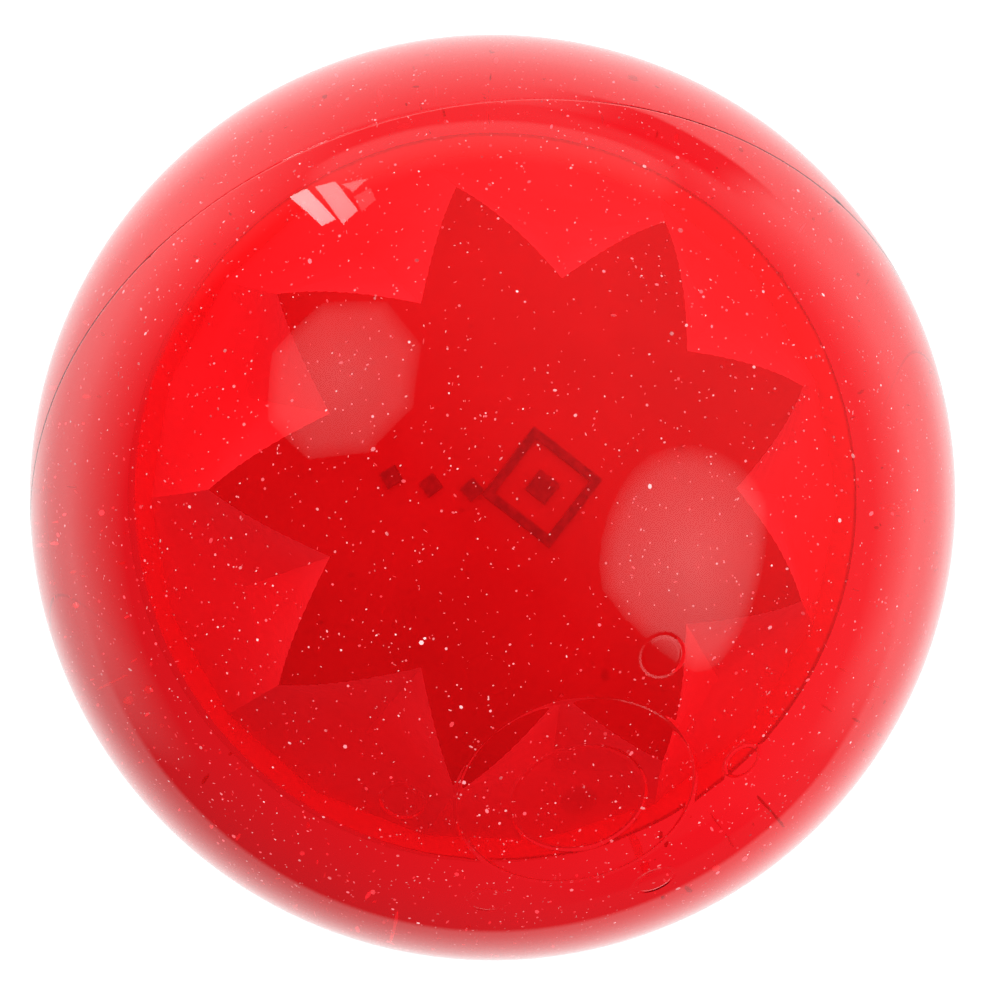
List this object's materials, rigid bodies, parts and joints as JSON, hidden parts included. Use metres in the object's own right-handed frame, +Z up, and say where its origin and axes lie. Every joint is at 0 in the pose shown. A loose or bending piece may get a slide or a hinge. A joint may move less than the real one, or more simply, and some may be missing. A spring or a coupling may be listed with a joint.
{
  "type": "ground golf ball",
  "caption": "Clear red ball for ground golf: a glitter cover moulded over a round core whose front is cut into a nine-lobed star with a plain printed mark.",
  "frame": {"origin": "centre of the ball", "axes": "+Z up, -Y along the moulding axis out through the pole with the trimmed gate and the ring marks; the parting line lies in the XZ plane"},
  "size_m": [0.06, 0.06, 0.06],
  "materials": {
    "cover": "polished clear red resin with silver glitter",
    "core": "clear red resin, cloudy on the star's front end",
    "ink": "pad-printed dark red ink",
    "glitter": "silver flakes"
  },
  "bodies": {
    "root": {"cover_front": "cover", "cover_rear": "cover", "core": "core", "ink_diamond": "ink", "ink_centre": "ink", "ink_dot_1": "ink", "ink_dot_2": "ink", "ink_dot_3": "ink"}
  },
  "joints": []
}
